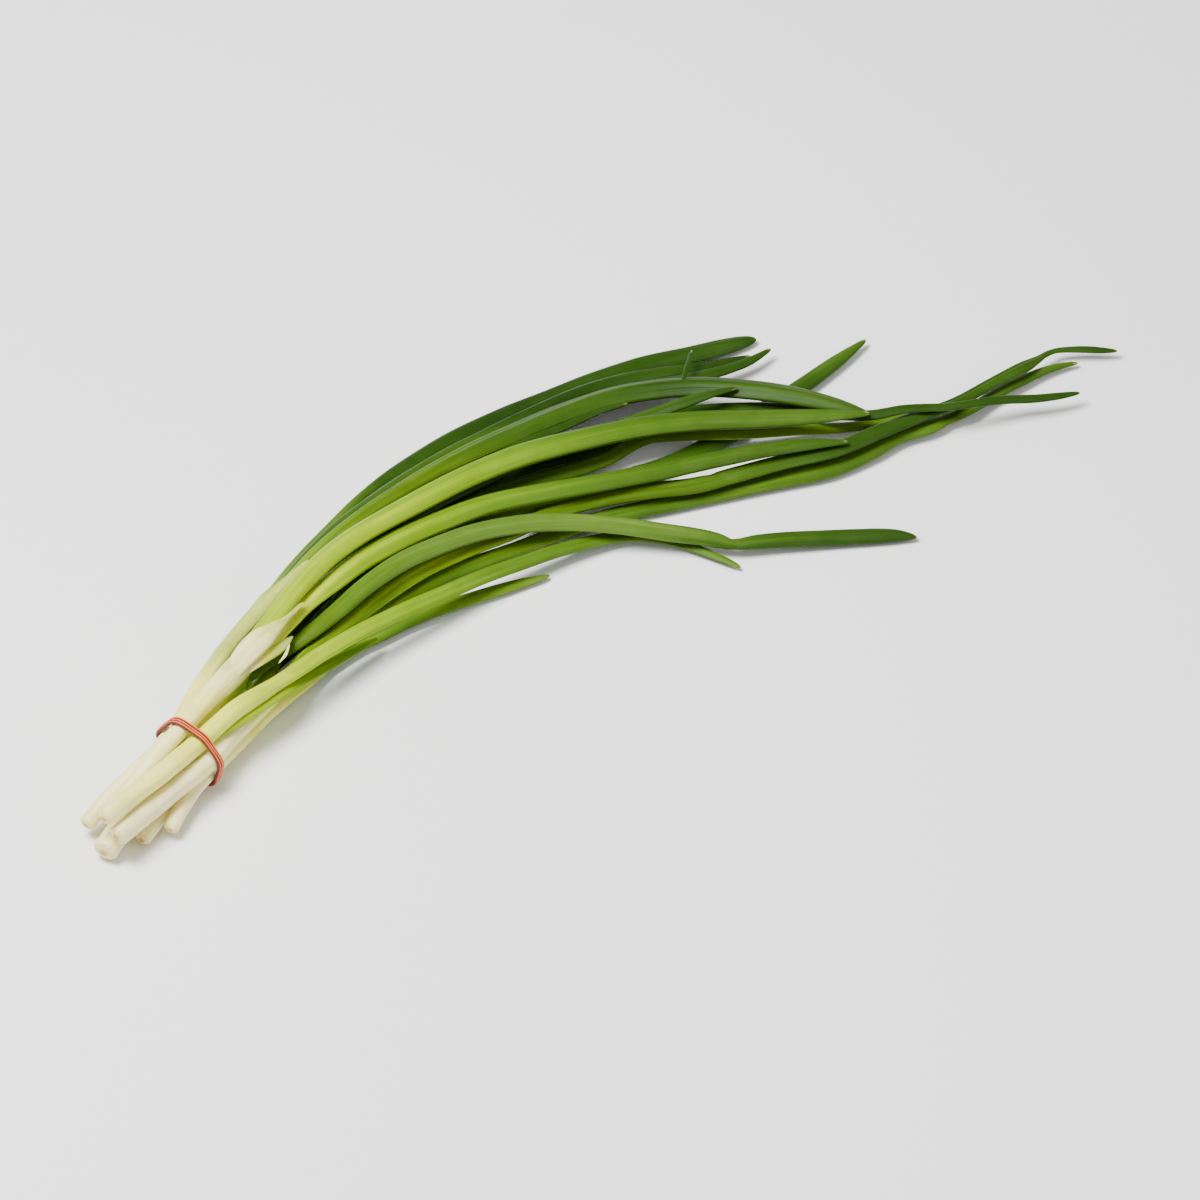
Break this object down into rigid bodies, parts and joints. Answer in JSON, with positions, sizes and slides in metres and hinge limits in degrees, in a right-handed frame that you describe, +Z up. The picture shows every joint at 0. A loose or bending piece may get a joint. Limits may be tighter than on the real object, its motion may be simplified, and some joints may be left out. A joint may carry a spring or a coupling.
{
  "type": "spring onion bunch",
  "caption": "Bunch of spring onions lying down, white shanks tied near the roots with a wound rubber band and long green leaves fanning out along the surface.",
  "frame": {"origin": "on the table, under the flat spot of the elastic that ties the shanks", "axes": "+X along the bunch from the roots to the leaf tips, +Z up from the table, +Y across the bunch"},
  "size_m": [0.4146, 0.1274, 0.0273],
  "materials": {
    "leaf_green": "satin",
    "leaf_lime": "satin",
    "leaf_dark": "satin",
    "elastic_coral": "satin"
  },
  "bodies": {
    "root": {"onion_left": "leaf_green", "onion_middle": "leaf_lime", "onion_front": "leaf_lime", "onion_broad": "leaf_green", "onion_right": "leaf_green", "onion_low": "leaf_dark", "onion_stout": "leaf_green", "elastic": "elastic_coral"}
  },
  "joints": []
}
